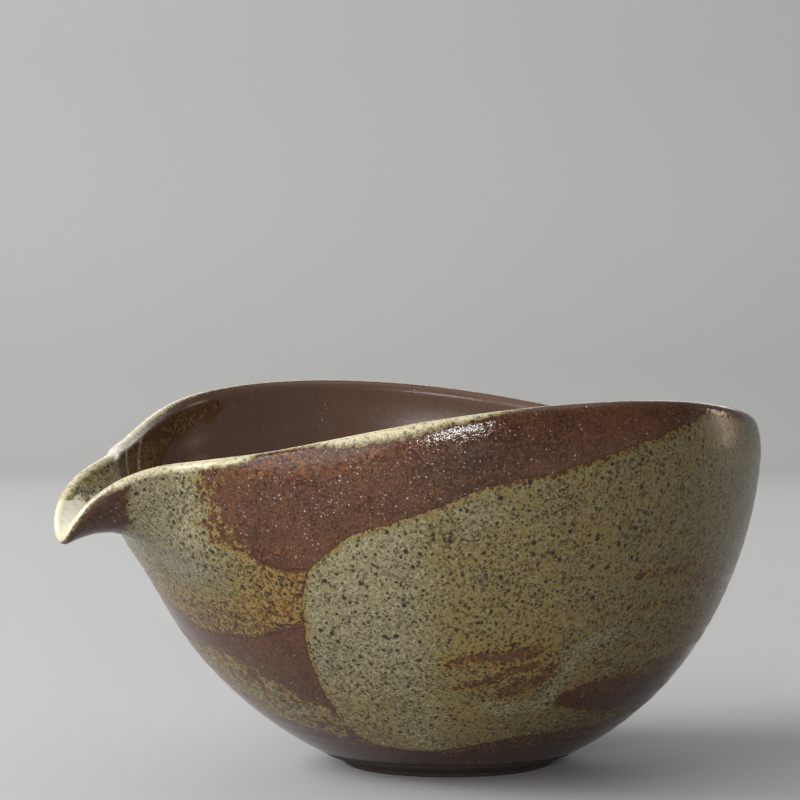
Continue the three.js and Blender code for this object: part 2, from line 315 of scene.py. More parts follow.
def smooth_mesh(name, points, normals, faces):
    """A smooth object from points, a normal at each and faces of four points."""
    mesh = bpy.data.meshes.new(name)
    mesh.vertices.add(len(points))
    mesh.vertices.foreach_set("co", points.astype(np.float32).ravel())
    mesh.loops.add(faces.size)
    mesh.loops.foreach_set("vertex_index", faces.astype(np.int32).ravel())
    mesh.polygons.add(len(faces))
    mesh.polygons.foreach_set("loop_start", np.arange(0, faces.size, 4, dtype=np.int32))
    mesh.update(calc_edges=True)
    mesh.validate()
    mesh.polygons.foreach_set("use_smooth", np.ones(len(mesh.polygons), bool))
    mesh.normals_split_custom_set_from_vertices(normals.tolist())
    return put(name, mesh)


class Wall:
    """The bowl's outside as a smooth surface: angle is round from the lip, up is 0 to 1."""

    ROUND_STEPS = 1440
    UP_STEPS = 240
    RING_SPACING = 3.4 * MM

    def __init__(self, shape):
        self.shape = shape
        rise = shape.belly - shape.foot_height
        self.drop = rise / math.sqrt(1 - (shape.foot_top / shape.radius) ** 2)
        self.low = math.asin(-rise / self.drop)
        self.high = math.asin((shape.rim - shape.belly) / self.drop)
        self.length = (shape.radius + self.drop) / 2 * (self.high - self.low)
        middle = (foot_low + foot_high) / 2
        self.axis, self.side = middle.x + shape.foot_height * shape.lean, middle.y
        self.angles = np.linspace(-math.pi, math.pi, self.ROUND_STEPS + 1)
        self.ups = np.linspace(0, 1, self.UP_STEPS + 1)
        self.points = self._pulled()
        self.normals = self._normals(self.points)
        self.points += self.normals * self._unevenness()[..., None]
        self.normals = self._normals(self.points)

    def pull(self, angle):
        """How much of the full pull the wall gets, from 0 to 1."""
        s = self.shape
        turn = np.abs((np.asarray(angle) + math.pi) % (2 * math.pi) - math.pi)
        narrow = np.exp(-((turn / s.half_width) ** s.sharpness))
        return mix(narrow, np.exp(-((turn / s.flare_width) ** 2)), s.flare)

    def level(self, height):
        """Height from 0 at the top of the foot to 1 at the rim."""
        return (height - self.shape.foot_height) / (self.shape.rim - self.shape.foot_height)

    def _pulled(self):
        """The wall's points, with the rim's wave."""
        s, a = self.shape, self.angles[:, None]
        u = mix(self.low, self.high, self.ups)
        thrown = s.belly + self.drop * np.sin(u)
        out, height = self._turned(s.radius * np.cos(u), thrown)
        wave = s.side_rise * np.cos(2 * a) + s.back_rise * np.cos(a) + s.corner_rise * np.cos(4 * a)
        height = height - wave * self.level(height) ** 3
        out = out + self._pressed(thrown)
        x = self.axis - out * np.cos(a) - height * s.lean
        y = self.side - out * np.sin(a)
        return np.stack([x, y, height], -1)

    def _turned(self, out, height):
        """The thrown section at each angle, turned outwards in the lip and inwards at the rim."""
        s = self.shape
        middle = (height[1:] + height[:-1]) / 2
        share = self.pull(self.angles)[:, None]
        outward = share * smooth((middle - s.bend_start) / (s.bend_end - s.bend_start))
        inward = (1 - share) * smooth(1 - (s.rim - middle) / s.rim_turn_height)
        stretch = mix(1, s.stretch, outward)
        turn = s.bend * outward - s.rim_turn * inward
        cos, sin = np.cos(turn), np.sin(turn)
        step_out = (np.diff(out) * cos + np.diff(height) * sin) * stretch
        step_up = (np.diff(height) * cos - np.diff(out) * sin) * stretch
        start = np.zeros((len(self.angles), 1))
        out = out[0] + np.hstack([start, np.cumsum(step_out, 1)])
        return out, height[0] + np.hstack([start, np.cumsum(step_up, 1)])

    def _pressed(self, thrown):
        """How far the webs, the pressed rim and the brim move the wall out."""
        s, level = self.shape, self.level(thrown)
        from_lip = np.degrees(np.abs(self.angles))[:, None]
        web = s.web_depth * hump(from_lip, *WEB_ROUND) * hump(thrown / MM, *WEB_UP)
        press = s.press_depth * hump(from_lip, *PRESS_ROUND) * level**2
        brim = s.brim_spread * hump(from_lip, *BRIM_ROUND) * level**4
        return web - press + brim

    def _normals(self, points):
        normals = grid_normals(points[:-1])
        return np.vstack([normals, normals[:1]])

    def _unevenness(self):
        """The hand's slow waves and the finger's rings, fading out at the rim and foot."""
        a, up = self.angles[:, None], self.ups[None]
        slow = np.sin(3 * a + 7 * up) + 0.7 * np.sin(2 * a - 11 * up + 1) + 0.5 * np.sin(5 * a + 4)
        climb = up * self.length / self.RING_SPACING + a / (2 * math.pi)
        rings = np.sin(2 * math.pi * climb + 0.8 * np.sin(a) + 1.3 * np.sin(9 * up))
        fade = smooth(up / 0.08) * smooth((1 - up) / 0.1)
        return (self.shape.wobble * slow / 2 + self.shape.ring_depth * rings) * fade

    def share(self, height):
        """How far up the wall a height on the thrown clay is, from 0 to 1."""
        u = np.arcsin((np.asarray(height) - self.shape.belly) / self.drop)
        return (u - self.low) / (self.high - self.low)

    def sample(self, angle, up):
        """Points and normals of the outside at any angles and ups."""
        turn = (np.asarray(angle) + math.pi) % (2 * math.pi) / (2 * math.pi) * self.ROUND_STEPS
        rise = np.clip(up, 0, 1) * self.UP_STEPS
        i = np.minimum(turn.astype(int), self.ROUND_STEPS - 1)
        k = np.minimum(rise.astype(int), self.UP_STEPS - 1)
        s, t = (turn - i)[..., None], (rise - k)[..., None]
        found = []
        for table in (self.points, self.normals):
            low = mix(table[i, k], table[i + 1, k], s)
            high = mix(table[i, k + 1], table[i + 1, k + 1], s)
            found.append(mix(low, high, t))
        normal = found[1] / np.linalg.norm(found[1], axis=-1, keepdims=True)
        return found[0], normal

    def height(self, up):
        """Height on the thrown wall, in millimetres."""
        return (self.shape.belly + self.drop * np.sin(mix(self.low, self.high, up))) / MM

    def thickness(self, angle, up):
        s = self.shape
        top = mix(s.rim_thickness, s.lip_thickness, self.pull(angle))
        return mix(s.base_thickness, top, smooth(up))

    def at(self, angle, up, depth=0.0, lift=0.0):
        """A point from the outside (depth 0) to the inside (depth 1), moved out by lift."""
        point, normal = self.sample(angle, up)
        return point + normal * (lift - depth * self.thickness(angle, up))[..., None]


class Outline:
    """A closed smooth edge of glaze on the wall, which tells how far inside it a place is."""

    CURVE_STEPS = 24
    EDGE_POINTS = 720
    RIPPLE = 0.35
    BATCH = 8000

    def __init__(self, wall, corners, inside=False):
        self.wall = wall
        self.depth = 1.0 if inside else 0.0
        curve = self._curve(self.spots(np.array(corners, float)))
        self.flat = self._rippled(evenly(curve, self.EDGE_POINTS, closed=True))
        angle, up = self.place(self.flat)
        self.solid = wall.at(angle, up, np.full(len(angle), self.depth))

    def spots(self, corners):
        """Degrees from the lip and millimetres along the wall, for millimetres of height."""
        up = self.wall.share(corners[:, 1] * MM) * self.wall.length / MM
        return np.stack([corners[:, 0], up], -1)

    def place(self, flat):
        """Angle and share up the wall of such spots."""
        return np.radians(flat[..., 0]), flat[..., 1] * MM / self.wall.length

    def _curve(self, spots):
        """A Catmull-Rom curve through the corners."""
        t = np.linspace(0, 1, self.CURVE_STEPS, endpoint=False)[:, None]
        runs = []
        for i in range(len(spots)):
            a, b, c, d = (spots[(i + k) % len(spots)] for k in (-1, 0, 1, 2))
            cubic = -a + 3 * b - 3 * c + d
            square = 2 * a - 5 * b + 4 * c - d
            runs.append(0.5 * (2 * b + (c - a) * t + square * t**2 + cubic * t**3))
        return np.vstack(runs)

    def _rippled(self, flat):
        """The edge of poured glaze wanders a little."""
        turn = np.linspace(0, 2 * math.pi, len(flat), endpoint=False)
        along = np.roll(flat, -1, 0) - np.roll(flat, 1, 0)
        out = np.stack([along[:, 1], -along[:, 0]], -1)
        out /= np.linalg.norm(out, axis=1, keepdims=True)
        wave = np.sin(17 * turn + 1) + 0.6 * np.sin(41 * turn + 2) + 0.35 * np.sin(83 * turn)
        return flat + out * (wave * self.RIPPLE / 2)[:, None]

    def inner_distance(self, angle, up, points):
        """Millimetres inside the edge, less than 0 outside it."""
        spot = np.stack([np.degrees(angle), up * self.wall.length / MM], -1)
        spot[:, 0] = (spot[:, 0] + 120) % 360 - 120
        found = np.empty(len(points))
        edge = self.solid[::2] / MM
        edge_size = (edge**2).sum(-1)
        ring = self.flat[::2]
        after = np.roll(ring, -1, 0)
        tall = after[:, 1] - ring[:, 1]
        tall = np.where(np.abs(tall) < 1e-9, 1e-9, tall)
        slant = (after[:, 0] - ring[:, 0]) / tall
        for first in range(0, len(points), self.BATCH):
            part = slice(first, first + self.BATCH)
            place = points[part] / MM
            gap = (place**2).sum(-1)[:, None] + edge_size - 2 * place @ edge.T
            near = np.sqrt(np.maximum(gap.min(1), 0))
            x, y = spot[part, :1], spot[part, 1:]
            crosses = (ring[:, 1] > y) != (after[:, 1] > y)
            inside = (crosses & (x < ring[:, 0] + (y - ring[:, 1]) * slant)).sum(1) % 2 == 1
            found[part] = np.where(inside, near, -near)
        return found


def strokes(wall, angle, height, lines):
    """1 along the middle of strokes of glaze, fading to 0 at their sides."""
    reach = 0.85 * wall.shape.radius / MM
    spot = np.stack([((angle + 2) % (2 * math.pi) - 2) * reach, height], -1)
    found = np.zeros(len(angle))
    for width, *corners in lines:
        ends = np.array(corners, float)
        ends[:, 0] *= math.radians(1) * reach
        for start, end in zip(ends[:-1], ends[1:]):
            run = end - start
            share = np.clip((spot - start) @ run / (run @ run), 0, 1)
            gap = np.linalg.norm(spot - start - share[:, None] * run, axis=1)
            found = np.maximum(found, hump(gap, 0, width))
    return found


class GlazeMarks:
    """What the glaze needs to know at each point of a mesh, such as how far inside a pour it is."""

    FAR = 20.0

    def __init__(self, wall, marks, points):
        self.wall, self.points = wall, points
        self.angle, self.up, self.inner = marks[:, 0], marks[:, 1], marks[:, 2]
        self.outer = self.inner < 0.5
        self.degrees = (np.degrees(self.angle) + 180) % 360 - 180
        self.turn = self.degrees % 360
        self.from_lip = np.abs(self.degrees)
        self.height = wall.height(self.up)
        arc = math.pi / 2 * wall.thickness(self.angle, 1) * np.abs(self.inner - 0.5)
        self.from_crest = ((1 - self.up) * wall.length + arc) / MM
        self.back = self.inside_of(BACK_POUR)
        self.side = self.inside_of(SIDE_POUR)
        self.fading = hump(self.degrees, 20, 8) * smooth((self.height - 45) / 6)

    def inside_of(self, corners, inside=False):
        """Millimetres inside a pour on one side of the wall, as far as they matter."""
        on = ~self.outer if inside else self.outer
        found = np.full(len(self.points), -self.FAR)
        outline = Outline(self.wall, corners, inside)
        found[on] = outline.inner_distance(self.angle[on], self.up[on], self.points[on])
        return np.clip(found, -self.FAR, self.FAR)

    def outside(self, value):
        """A value on the outside of the wall, and 0 on the inside."""
        return np.where(self.outer, value, 0)

    def stroked(self, lines):
        return self.outside(strokes(self.wall, self.angle, self.height, lines))

    def rim_ash(self):
        """Millimetres inside the ash along the rim."""
        outside = np.interp(self.degrees, *zip(*RIM_ASH))
        inside = np.interp(self.degrees, *zip(*RIM_ASH_INSIDE))
        return mix(outside, inside, smooth((self.inner - 0.4) / 0.2)) - self.from_crest

    def thin_ash(self):
        """Patches of thin ash on the outside, and ash sprayed over the rim on the inside."""
        patches = np.zeros(len(self.points))
        for round_at, up_at, wide, tall, amount in THIN_PATCHES:
            patches += amount * hump(self.degrees, round_at, wide) * hump(self.height, up_at, tall)
        below = smooth((self.back + 3.2) / 1.8) * (1 - smooth(self.back / 0.3))
        patches += 0.17 * below * smooth((15 - self.height) / 3) * smooth((self.turn - 50) / 15)
        sprayed = 0.30 * smooth((5 - self.from_crest) / 4) * hump(self.from_lip, 32, 26)
        return np.where(self.outer, patches, sprayed)

    def back_thickness(self):
        """The back pour is thick near the lip, and thinner further round and low down."""
        turn, height = self.turn, self.height
        thick = 1.02 - 0.40 * smooth((turn - 50) / 13)
        thick -= 0.22 * hump(turn, 74, 13) * hump(height, 24, 7)
        thick -= 0.36 * (1 - smooth((turn - 44) / 16)) * smooth((28 - height) / 14)
        return thick + 0.28 * hump(turn, 67, 5) * hump(height, 51.5, 2.4)

    def side_marks(self):
        """The side pour, whose edge is soft and without an iron line where it fades out."""
        degrees, height = self.degrees, self.height
        soft = 0.75 + 3.8 * self.fading
        soft += 0.9 * smooth((8 - self.from_lip) / 3) * smooth((height - 54) / 4)
        blurred = np.maximum(smooth((soft - 1.1) / 0.8), smooth((self.back + 0.3) / 0.4))
        to_rim = smooth((degrees - 8.5) / 2) * smooth((18.5 - degrees) / 4)
        to_rim = to_rim * smooth((height - 57) / 6)
        neck = hump(self.from_lip, 10, 11) * smooth((height - 33) / 14)
        return {
            "side_pour": (self.side + 7 * to_rim + 3 * self.fading) / soft,
            "side_edge": self.side * mix(1, 20, blurred),
            "side_fading": self.fading,
            "side_thickness": 0.36 + 0.74 * neck,
        }

    def lip_marks(self):
        """The wash and the runs of glaze inside the lip, the pale pooled glaze at its tip, which is
        also painted highlight, and the beads on the rim, which are painted highlight.
        """
        from_lip, height = self.from_lip, self.height
        wash = hump(from_lip, 0, 16) * 0.95 + 0.44 - 0.18 * smooth((from_lip - 36) / 12)
        # Painted highlight: pooled glaze at the lip's tip, made pale where light falls on the
        # trough's floor.
        pool = smooth((6.2 - from_lip) / 0.8) * smooth((height - 58.6) / 1.6)
        pool = pool * smooth((self.inner - 0.2) / 0.25)
        beads = np.zeros(len(self.points))
        for size, round_at, wide, down_at, tall in RIM_BEADS:
            round_wall = hump(self.degrees, round_at, wide)
            beads += size * round_wall * hump(self.from_crest, down_at, tall)
        found = {
            "inside_lip": self.inside_of(INSIDE_WASH, inside=True),
            "inside_thickness": wash,
            "pool": np.maximum(pool, self.outside(beads)),
            "run_height": height * self.inner,
        }
        for name, round_at, slant, _ in RUNS:
            found[name] = (from_lip - round_at - slant * (height - 57)) * self.inner
        return found

    def slip_marks(self):
        """Where the slip gets painted glints, where painted shade darkens it under the lip, low on
        the right and near the foot, and where painted shade darkens the ash round to the right as
        the light falls off.
        """
        turn, height = self.turn, self.height
        glinting = np.maximum(hump(turn, 46, 32) * hump(height, 58, 13), 0.3)
        # Painted shade: the slip is darkened under the lip, low on the right and near the foot,
        # where shade falls.
        below_lip = hump(self.from_lip, 0, 9) * smooth((height - 50) / 5)
        low_right = hump(turn, 105, 50) * smooth((25 - height) / 8)
        near_foot = 0.7 * smooth((13 - height) / 9)
        return {
            "glint_share": self.outside(glinting),
            "dark_slip": self.outside(np.maximum(np.maximum(below_lip, low_right), near_foot)),
            # Painted shade: darker round to the right, where the light falls off.
            "shade": self.outside(smooth((turn - 48) / 62) * smooth((215 - turn) / 40)),
            "inside": self.inner,
        }

    def values(self):
        """Every mark by name. Those of pours are millimetres inside their edge."""
        return {
            "back_pour": self.back,
            "back_thickness": self.back_thickness(),
            "low_pour": self.inside_of(LOW_POUR),
            "iron_bay": self.inside_of(IRON_BAY),
            "iron_stroke": self.stroked(IRON_STROKES),
            "iron_wash": self.outside(hump(self.turn, 132, 24) * hump(self.height, 35, 11)),
            "pale_stroke": self.stroked(PALE_STROKES),
            "rim_ash": self.rim_ash(),
            "thin_ash": self.thin_ash(),
            **self.side_marks(),
            **self.lip_marks(),
            **self.slip_marks(),
        }

    def store(self, made, copies=1):
        """Keeps each value at the points of a mesh, which has this many copies of them."""
        for name, value in self.values().items():
            layer = made.data.attributes.new(name, "FLOAT", "POINT")
            layer.data.foreach_set("value", np.tile(value, copies).astype(np.float32))


class Clay:
    """The bowl's section at each column: under the floor, up the outside, over the rim, down
    the inside and back to the middle of the floor."""

    FLOOR = 16
    ARC = 10
    CORNER_REACH = 9
    CORNER_PASSES = 160

    def __init__(self, wall):
        s = self.shape = wall.shape
        self.wall = wall
        seam_up = float(wall.share(s.seam_height))
        self.seam_row = round(s.rows * seam_up)
        low = np.linspace(0, seam_up, self.seam_row, endpoint=False)
        self.ups = np.concatenate([low, np.linspace(seam_up, 1, s.rows - self.seam_row + 1)])
        self.lip_columns = s.columns // 5
        lip = np.linspace(-s.seam_angle, s.seam_angle, self.lip_columns, endpoint=False)
        rest = s.columns - self.lip_columns + 1
        back = np.linspace(s.seam_angle, 2 * math.pi - s.seam_angle, rest)
        self.angles = np.concatenate([lip, back[:-1]])
        self._section()

    def _section(self):
        """Makes the points and normals of every row, and its share up and through the wall."""
        angle = np.repeat(self.angles[:, None], len(self.ups), 1)
        up = np.repeat(self.ups[None], len(self.angles), 0)
        outer, normal = self.wall.sample(angle, up)
        inner = outer - normal * self.wall.thickness(angle, up)[..., None]
        under, over = self._floor(outer, inner)
        inside = self._rounded(np.concatenate([inner[:, ::-1], over[:, ::-1]], 1))
        self.points = np.concatenate([under, outer, self._rim(outer, inner, normal), inside], 1)
        self.normals = self._normals()
        self.outer_row = self.FLOOR
        self.inner_row = self.points.shape[1] - self.FLOOR - 1
        zero, one = np.zeros(self.FLOOR), np.ones(self.ARC - 1)
        self.up = np.concatenate([zero, self.ups, one, self.ups[::-1], zero])
        outside = np.zeros(self.FLOOR + len(self.ups))
        over_rim = np.linspace(0, 1, self.ARC + 1)[1:-1]
        self.inner = np.concatenate([outside, over_rim, outside + 1])

    def _floor(self, outer, inner):
        """The floor's underside, and its top, from the middle out to the wall."""
        wall, s = self.wall, self.shape
        middle = np.array((wall.axis - s.foot_height * s.lean, wall.side, s.foot_height))
        share = np.linspace(0, 1, self.FLOOR, endpoint=False)[None, :, None]
        under = mix(middle[None, None], outer[:, :1], share)
        top = middle + np.array([0, 0, s.floor_thickness])
        over = mix(top[None, None], inner[:, :1], share)
        over[..., 2] = mix(top[2], inner[:, :1, 2], share[..., 0] ** 2)
        return under, over

    def _rim(self, outer, inner, normal):
        """A half round from the wall's outside over the rim to its inside."""
        start, end = outer[:, -1:], inner[:, -1:]
        centre, radius = (start + end) / 2, np.linalg.norm(start - end, axis=-1)[..., None] / 2
        rise = outer[:, -1:] - outer[:, -3:-2]
        rise /= np.linalg.norm(rise, axis=-1, keepdims=True)
        turn = (np.arange(1, self.ARC) * math.pi / self.ARC)[None, :, None]
        return centre + radius * (np.cos(turn) * normal[:, -1:] + np.sin(turn) * rise)

    def _rounded(self, inside):
        """The inside with the corner between wall and floor worn round."""
        corner = len(self.ups) - 0.5
        near = hump(np.arange(inside.shape[1]), corner, self.CORNER_REACH)[1:-1, None]
        for _ in range(self.CORNER_PASSES):
            middle = (inside[:, 2:] + inside[:, :-2]) / 2
            inside[:, 1:-1] += 0.5 * near * (middle - inside[:, 1:-1])
        return inside

    def _normals(self):
        normals = grid_normals(self.points)
        normals[:, 0] = (0, 0, -1)
        normals[:, -1] = (0, 0, 1)
        return normals

    def piece(self, name, lip):
        """The lip's clay, or all the rest of it, closed along the seam between them."""
        columns, rows = self.points.shape[:2]
        faces = grid_faces(columns, rows, closed=True)
        column, row = faces[:, 0] // rows, faces[:, 0] % rows
        first = self.outer_row + self.seam_row
        last = self.inner_row - self.seam_row
        in_lip = (column < self.lip_columns) & (row >= first) & (row < last)
        seam = self._seam_faces(first, last, rows)
        kept = np.vstack([faces[in_lip == lip], seam if lip else seam[:, ::-1]])
        used, numbers = np.unique(kept, return_inverse=True)
        angle = np.repeat(self.angles, rows)[used]
        up, inner = np.tile(self.up, columns)[used], np.tile(self.inner, columns)[used]
        points = self.points.reshape(-1, 3)[used]
        normals = self.normals.reshape(-1, 3)[used]
        marks = np.stack([angle, up, inner], -1)
        made = smooth_mesh(name, points, normals, numbers.reshape(kept.shape))
        GlazeMarks(self.wall, marks, points).store(made)
        return made

    def _seam_faces(self, first, last, rows):
        """The cut faces of the lip, below it and at its two sides, facing out of the lip."""
        faces = []
        for i in range(self.lip_columns):
            a, b = i * rows, (i + 1) * rows
            faces.append((a + first, a + last, b + last, b + first))
        for i, flip in ((0, False), (self.lip_columns, True)):
            for k in range(len(self.ups) - 1 - self.seam_row):
                a, b = i * rows + first + k, i * rows + last - k
                face = (a, a + 1, b - 1, b)
                faces.append(face[::-1] if flip else face)
        return np.array(faces)


class Coat:
    """Glaze inside an outline, rising from a fine rounded edge, with a hidden underside."""

    FIRST_ROWS = (0, 0.12, 0.25, 0.4, 0.6, 0.85, 1.2, 1.7)
    NEXT_ROW = 2.4
    ROW_SPACING = 0.9
    SUNK_EDGE = 0.03 * MM
    SUNK_UNDERSIDE = 0.12 * MM

    def __init__(self, wall, outline, middle, depth, width):
        self.wall, self.outline = wall, outline
        self.middle = outline.spots(np.array([middle], float))[0]
        self.depth, self.width = depth, width

    def make(self, name):
        """The coat as an object. Its underside lies a little inside the clay."""
        side = -1.0 if self.outline.depth > 0.5 else 1.0
        angle, up, lift = self._rows(self.outline.flat)
        top = self._skin(angle, up, lift * side)
        under = self._skin(angle, up, np.full(lift.shape, -self.SUNK_UNDERSIDE) * side)
        columns, rows = angle.shape
        size = columns * rows
        faces = grid_faces(columns, rows, closed=True)
        faces = np.vstack([faces, faces[:, ::-1] + size, self._edge_faces(columns, rows)])
        points = np.vstack([top.reshape(-1, 3), under.reshape(-1, 3)])
        normals = np.vstack([self._normals(top, side), -self._normals(under, side)])
        made = smooth_mesh(name, points, normals, faces[:, ::-1] if side < 0 else faces)
        marks = np.stack([angle.ravel(), up.ravel(), np.full(size, self.outline.depth)], -1)
        GlazeMarks(self.wall, marks, points[:size]).store(made, copies=2)
        return made

    def _rows(self, edge):
        """Rows from the edge in to the middle, close together near the edge."""
        reach = np.linalg.norm(edge - self.middle, axis=1).max()
        steps = max(3, int(reach / self.ROW_SPACING))
        rows = np.concatenate([self.FIRST_ROWS, np.linspace(self.NEXT_ROW, reach, steps)])
        share = 1 - rows / reach
        flat = self.middle + (edge - self.middle)[:, None] * share[None, :, None]
        from_edge = np.linalg.norm(edge[:, None] - flat, axis=-1) * MM
        fade = np.clip(from_edge / self.width, 0, 1)
        lift = self.depth * fade * (2 - fade) - self.SUNK_EDGE
        return *self.outline.place(flat), lift

    def _skin(self, angle, up, lift):
        return self.wall.at(angle, up, np.full(angle.shape, self.outline.depth), lift)

    def _normals(self, grid, side):
        normals = grid_normals(grid) * side
        normals[:, -1] = normals[:, -3].mean(0)
        return normals.reshape(-1, 3)

    def _edge_faces(self, columns, rows):
        i = np.arange(columns)
        a, b = i * rows, (i + 1) % columns * rows
        size = columns * rows
        return np.stack([a, a + size, b + size, b], -1)


class Field:
    """A number that changes over a surface. Maths on it adds Math nodes."""

    def __init__(self, recipe, socket):
        self.recipe, self.socket = recipe, socket

    def _math(self, operation, first, second=0.0):
        node = self.recipe.add("ShaderNodeMath", {"operation": operation}, (first, second))
        return Field(self.recipe, node.outputs[0])

    def __add__(self, other):
        return self._math("ADD", self, other)

    def __radd__(self, other):
        return self._math("ADD", other, self)

    def __sub__(self, other):
        return self._math("SUBTRACT", self, other)

    def __rsub__(self, other):
        return self._math("SUBTRACT", other, self)

    def __mul__(self, other):
        return self._math("MULTIPLY", self, other)

    def __rmul__(self, other):
        return self._math("MULTIPLY", other, self)

    def __truediv__(self, other):
        return self._math("DIVIDE", self, other)

    def size(self):
        return self._math("ABSOLUTE", self)

    def highest(self, other):
        return self._math("MAXIMUM", self, other)

    def lowest(self, other):
        return self._math("MINIMUM", self, other)

    def between(self, low, high):
        """0 at low, 1 at high and smooth between them."""
        settings = {"interpolation_type": "SMOOTHSTEP"}
        node = self.recipe.add("ShaderNodeMapRange", settings, (self, low, high, 0.0, 1.0))
        return Field(self.recipe, node.outputs[0])


class Recipe:
    """A material in the making. add() makes every node."""

    def __init__(self, name):
        self.material = bpy.data.materials.new(name)
        self.material.use_nodes = True
        self.tree = self.material.node_tree
        self.tree.nodes.clear()
        self.marks = {}
        self.place = self.add("ShaderNodeTexCoord").outputs["Object"]

    def add(self, kind, settings=None, values=()):
        """A node with its settings, and with numbers or links for its inputs."""
        node = self.tree.nodes.new(kind)
        for name, value in (settings or {}).items():
            if name == "stops":
                self._set_stops(node.color_ramp, value)
            else:
                setattr(node, name, value)
        pairs = values.items() if isinstance(values, dict) else enumerate(values)
        for name, value in pairs:
            value = value.socket if isinstance(value, Field) else value
            if isinstance(value, bpy.types.NodeSocket):
                self.tree.links.new(value, node.inputs[name])
            else:
                node.inputs[name].default_value = value
        return node

    def _set_stops(self, ramp, stops):
        while len(ramp.elements) < len(stops):
            ramp.elements.new(0.5)
        for element, (position, colour) in zip(ramp.elements, stops):
            element.position = position
            element.color = (*colour, 1.0)

    def mark(self, name):
        """A number stored at each point of the mesh."""
        if name not in self.marks:
            node = self.add("ShaderNodeAttribute", {"attribute_name": name})
            self.marks[name] = Field(self, node.outputs["Fac"])
        return self.marks[name]

    def _vector(self, operation, values):
        return self.add("ShaderNodeVectorMath", {"operation": operation}, values).outputs[0]

    def stretched(self, x, y, z):
        """The place, scaled along each axis."""
        return self._vector("MULTIPLY", (self.place, (x, y, z)))

    def noise(self, size, detail=3.0, rough=0.55, place=None):
        """Noise between about 0.2 and 0.8, with features of a size in metres."""
        values = {
            "Vector": place or self.place,
            "Scale": 1 / size,
            "Detail": detail,
            "Roughness": rough,
        }
        return Field(self, self.add("ShaderNodeTexNoise", None, values).outputs[0])

    def ragged(self, amount, size):
        """The place, moved about a little, which makes round specks uneven."""
        noise = self.add("ShaderNodeTexNoise", None, {"Vector": self.place, "Scale": 1 / size})
        centred = self._vector("SUBTRACT", (noise.outputs[1], (0.5,) * 3))
        moved = self._vector("SCALE", {0: centred, 3: amount})
        return self._vector("ADD", (self.place, moved))

    def dots(self, spacing, radius, chance, place=None, crowd=0.0):
        """Specks, each 1 in its middle, in a share of the cells that grows with crowd."""
        values = {"Vector": place or self.place, "Scale": 1 / spacing, "Randomness": 1.0}
        node = self.add("ShaderNodeTexVoronoi", {"feature": "F1"}, values)
        near = Field(self, node.outputs["Distance"]) * spacing
        split = self.add("ShaderNodeSeparateColor", None, {"Color": node.outputs["Color"]})
        lucky = (Field(self, split.outputs[0]) + crowd).between(0.99 - chance, 1.01 - chance)
        size = Field(self, split.outputs[1]) * radius * 0.6 + radius * 0.4
        return (1 - (near / size).between(0.55, 1.0)) * lucky

    def blend(self, share, first, second):
        """A colour between two colours."""
        settings = {"data_type": "RGBA", "clamp_factor": True}
        values = {0: share, 6: self._colour(first), 7: self._colour(second)}
        return self.add("ShaderNodeMix", settings, values).outputs[2]

    def _colour(self, value):
        return value if isinstance(value, bpy.types.NodeSocket) else (*value, 1.0)

    def ramp(self, share, stops):
        return self.add("ShaderNodeValToRGB", {"stops": stops}, (share,)).outputs[0]

    def finish(self, colour, roughness, height, relief):
        """The material, with a bump of so many metres."""
        bump = self.add("ShaderNodeBump", None, {"Distance": relief, "Height": height})
        values = {
            "Base Color": colour,
            "Roughness": roughness,
            "Normal": bump.outputs[0],
            "IOR": 1.42,
        }
        shader = self.add("ShaderNodeBsdfPrincipled", None, values)
        self.add("ShaderNodeOutputMaterial", None, {"Surface": shader.outputs[0]})
        return self.material


class Unevenness:
    """Noise at each scale of the fired glaze, about 0 on average."""

    def __init__(self, recipe):
        level = recipe.stretched(0.1, 0.1, 1.0)
        self.cloud = recipe.noise(22 * MM, 3.0, 0.5) - 0.5
        self.drift = recipe.noise(6.5 * MM, 3.0) - 0.5
        self.streaks = recipe.noise(2.4 * MM, 3.0, 0.6, place=level) - 0.5
        self.wander = recipe.noise(1.6 * MM, 4.0, 0.6) - 0.5
        self.haze = recipe.noise(1.2 * MM, 3.0, 0.6) - 0.5
        self.blots = recipe.noise(0.75 * MM, 4.0, 0.68) - 0.5
        self.grain = recipe.noise(0.6 * MM, 2.0) - 0.5
        self.stipple = recipe.noise(0.45 * MM, 2.0, 0.6) - 0.5


def ash_outside(recipe, n):
    """The pours and thin patches on the outside of the wall."""
    edge = recipe.mark("back_pour") + n.wander * 0.6
    back = edge.between(-0.12, 0.02) * 0.10 + edge.between(0.16, 0.42) * 0.38
    back = back + edge.between(0.4, 1.7) * 0.52
    back = back * (recipe.mark("back_thickness") + n.drift * 0.42 + n.wander * 0.22)
    blotchy = 1 + recipe.mark("side_fading") * 1.6
    side = recipe.mark("side_pour") + (n.wander * 1.6 + n.drift) * blotchy
    side = side.between(-0.45, 1.5)
    side = side * side * (recipe.mark("side_thickness") + n.drift * 0.5 + n.wander * 0.3)
    low = (recipe.mark("low_pour") + n.wander * 3.0 + n.drift * 2.0).between(-0.3, 0.6)
    low = low * (0.42 + n.wander * 2.6 + n.drift * 1.4 + n.streaks * 0.8)
    patch = recipe.mark("thin_ash") * (0.3 + n.drift * 1.2 + n.wander * 1.4)
    return back.highest(side).highest(low).highest(patch)


def iron_in_ash(recipe, n):
    """Iron that eats the ash away: the bare bay, the strokes and the wash between them."""
    bay = recipe.mark("iron_bay") + n.wander * 3.0 + n.drift * 4.0 + n.streaks * 2.0
    bay = bay.between(-1.4, 1.5) * (0.50 + n.streaks * 2.4 + n.wander * 0.8)
    stroke = recipe.mark("iron_stroke") * (0.70 + n.wander * 3.0 + n.grain * 1.6)
    wash = recipe.mark("iron_wash") * (n.streaks + 0.03).between(-0.02, 0.14)
    return bay.highest(stroke * 0.46).highest(wash * 0.50)


